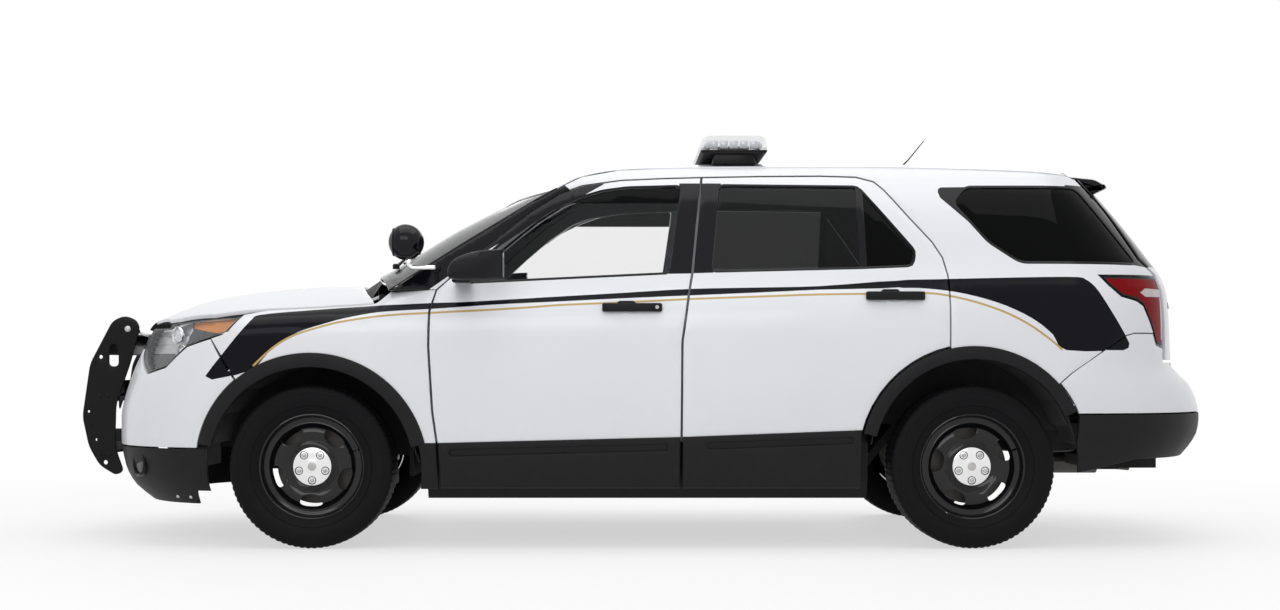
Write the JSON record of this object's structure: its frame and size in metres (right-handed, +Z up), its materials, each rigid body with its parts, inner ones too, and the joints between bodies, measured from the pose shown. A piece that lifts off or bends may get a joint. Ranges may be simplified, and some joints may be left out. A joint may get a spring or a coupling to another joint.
{
  "type": "police patrol car, five-door utility vehicle",
  "caption": "White five-door utility patrol car with push bumper, roof light bar, pillar spotlight and steel wheels; its doors, bonnet and liftgate open, and its front wheels steer.",
  "frame": {"origin": "on the ground, halfway along and across the car", "axes": "+X towards the tail, +Y towards the car's right side, +Z up"},
  "size_m": [5.1684, 2.3, 1.8779],
  "materials": {
    "white_paint": "gloss",
    "black_plastic": "matte",
    "tinted_glass": "gloss",
    "clear_glass": "gloss",
    "lamp_lens": "gloss",
    "red_lens": "gloss",
    "tyre_rubber": "matte",
    "black_steel": "gloss",
    "bare_metal": "satin",
    "chassis_black": "matte",
    "seat_cloth": "matte"
  },
  "bodies": {
    "car": {"aerial": "black_plastic", "bench_rear": "seat_cloth", "body_side_left": "white_paint", "body_side_right": "white_paint", "cowl": "black_plastic", "dashboard": "black_plastic", "engine": "bare_metal", "exhaust": "bare_metal", "fender_left": "white_paint", "fender_right": "white_paint", "floor_pan": "chassis_black", "front_bumper": "white_paint", "front_frame": "chassis_black", "front_skirt": "black_plastic", "front_subframe": "chassis_black", "glass_quarter_left": "tinted_glass", "glass_quarter_right": "tinted_glass", "grille": "black_plastic", "headlamp_left": "lamp_lens", "headlamp_right": "lamp_lens", "hitch": "chassis_black", "light_bar_base": "black_plastic", "light_bar_lens": "lamp_lens", "push_bumper": "black_plastic", "rear_bumper": "white_paint", "rear_skirt": "black_plastic", "rear_subframe": "chassis_black", "roof": "white_paint", "seat_front_left": "seat_cloth", "seat_front_right": "seat_cloth", "spotlight": "bare_metal", "steering_wheel": "black_plastic", "tail_lamp_left": "red_lens", "tail_lamp_right": "red_lens", "windscreen": "clear_glass"},
    "door_front_left": {"door_front_left": "white_paint", "glass_front_left": "clear_glass", "mirror_left": "black_plastic"},
    "door_front_right": {"door_front_right": "white_paint", "glass_front_right": "clear_glass", "mirror_right": "black_plastic"},
    "door_rear_left": {"door_rear_left": "white_paint", "glass_rear_left": "tinted_glass"},
    "door_rear_right": {"door_rear_right": "white_paint", "glass_rear_right": "tinted_glass"},
    "liftgate": {"liftgate": "white_paint", "glass_rear": "tinted_glass"},
    "bonnet": {"bonnet": "white_paint"},
    "steer_left": {"knuckle_left": "chassis_black"},
    "steer_right": {"knuckle_right": "chassis_black"},
    "wheel_front_left": {"tyre_front_left": "tyre_rubber", "rim_front_left": "black_steel"},
    "wheel_front_right": {"tyre_front_right": "tyre_rubber", "rim_front_right": "black_steel"},
    "wheel_rear_left": {"tyre_rear_left": "tyre_rubber", "rim_rear_left": "black_steel"},
    "wheel_rear_right": {"tyre_rear_right": "tyre_rubber", "rim_rear_right": "black_steel"}
  },
  "joints": [
    {"name": "door_front_left_hinge", "type": "hinge", "parent": "car", "child": "door_front_left", "pos_m": [-0.85, -0.975, 0.8], "axis": [0, 0, -1], "range_deg": [0, 65]},
    {"name": "door_front_right_hinge", "type": "hinge", "parent": "car", "child": "door_front_right", "pos_m": [-0.85, 0.975, 0.8], "axis": [0, 0, 1], "range_deg": [0, 65]},
    {"name": "door_rear_left_hinge", "type": "hinge", "parent": "car", "child": "door_rear_left", "pos_m": [0.24, -0.975, 0.8], "axis": [0, 0, -1], "range_deg": [0, 65]},
    {"name": "door_rear_right_hinge", "type": "hinge", "parent": "car", "child": "door_rear_right", "pos_m": [0.24, 0.975, 0.8], "axis": [0, 0, 1], "range_deg": [0, 65]},
    {"name": "liftgate_hinge", "type": "hinge", "parent": "car", "child": "liftgate", "pos_m": [1.9184, 0, 1.665], "axis": [0, -1, 0], "range_deg": [0, 78]},
    {"name": "bonnet_hinge", "type": "hinge", "parent": "car", "child": "bonnet", "pos_m": [-1.16, 0, 1.1], "axis": [0, 1, 0], "range_deg": [0, 50]},
    {"name": "steering_left", "type": "hinge", "parent": "car", "child": "steer_left", "pos_m": [-1.44, -0.745, 0.355], "axis": [0, 0, 1], "range_deg": [-30, 30]},
    {"name": "steering_right", "type": "hinge", "parent": "car", "child": "steer_right", "pos_m": [-1.44, 0.745, 0.355], "axis": [0, 0, 1], "range_deg": [-30, 30]},
    {"name": "roll_front_left", "type": "hinge", "parent": "steer_left", "child": "wheel_front_left", "pos_m": [-1.44, -0.851, 0.355], "axis": [0, 1, 0], "continuous": true},
    {"name": "roll_front_right", "type": "hinge", "parent": "steer_right", "child": "wheel_front_right", "pos_m": [-1.44, 0.851, 0.355], "axis": [0, 1, 0], "continuous": true},
    {"name": "roll_rear_left", "type": "hinge", "parent": "car", "child": "wheel_rear_left", "pos_m": [1.42, -0.851, 0.355], "axis": [0, 1, 0], "continuous": true},
    {"name": "roll_rear_right", "type": "hinge", "parent": "car", "child": "wheel_rear_right", "pos_m": [1.42, 0.851, 0.355], "axis": [0, 1, 0], "continuous": true}
  ],
  "couplings": [
    {"joint": "steering_right", "follows": "steering_left", "ratio": 1}
  ]
}
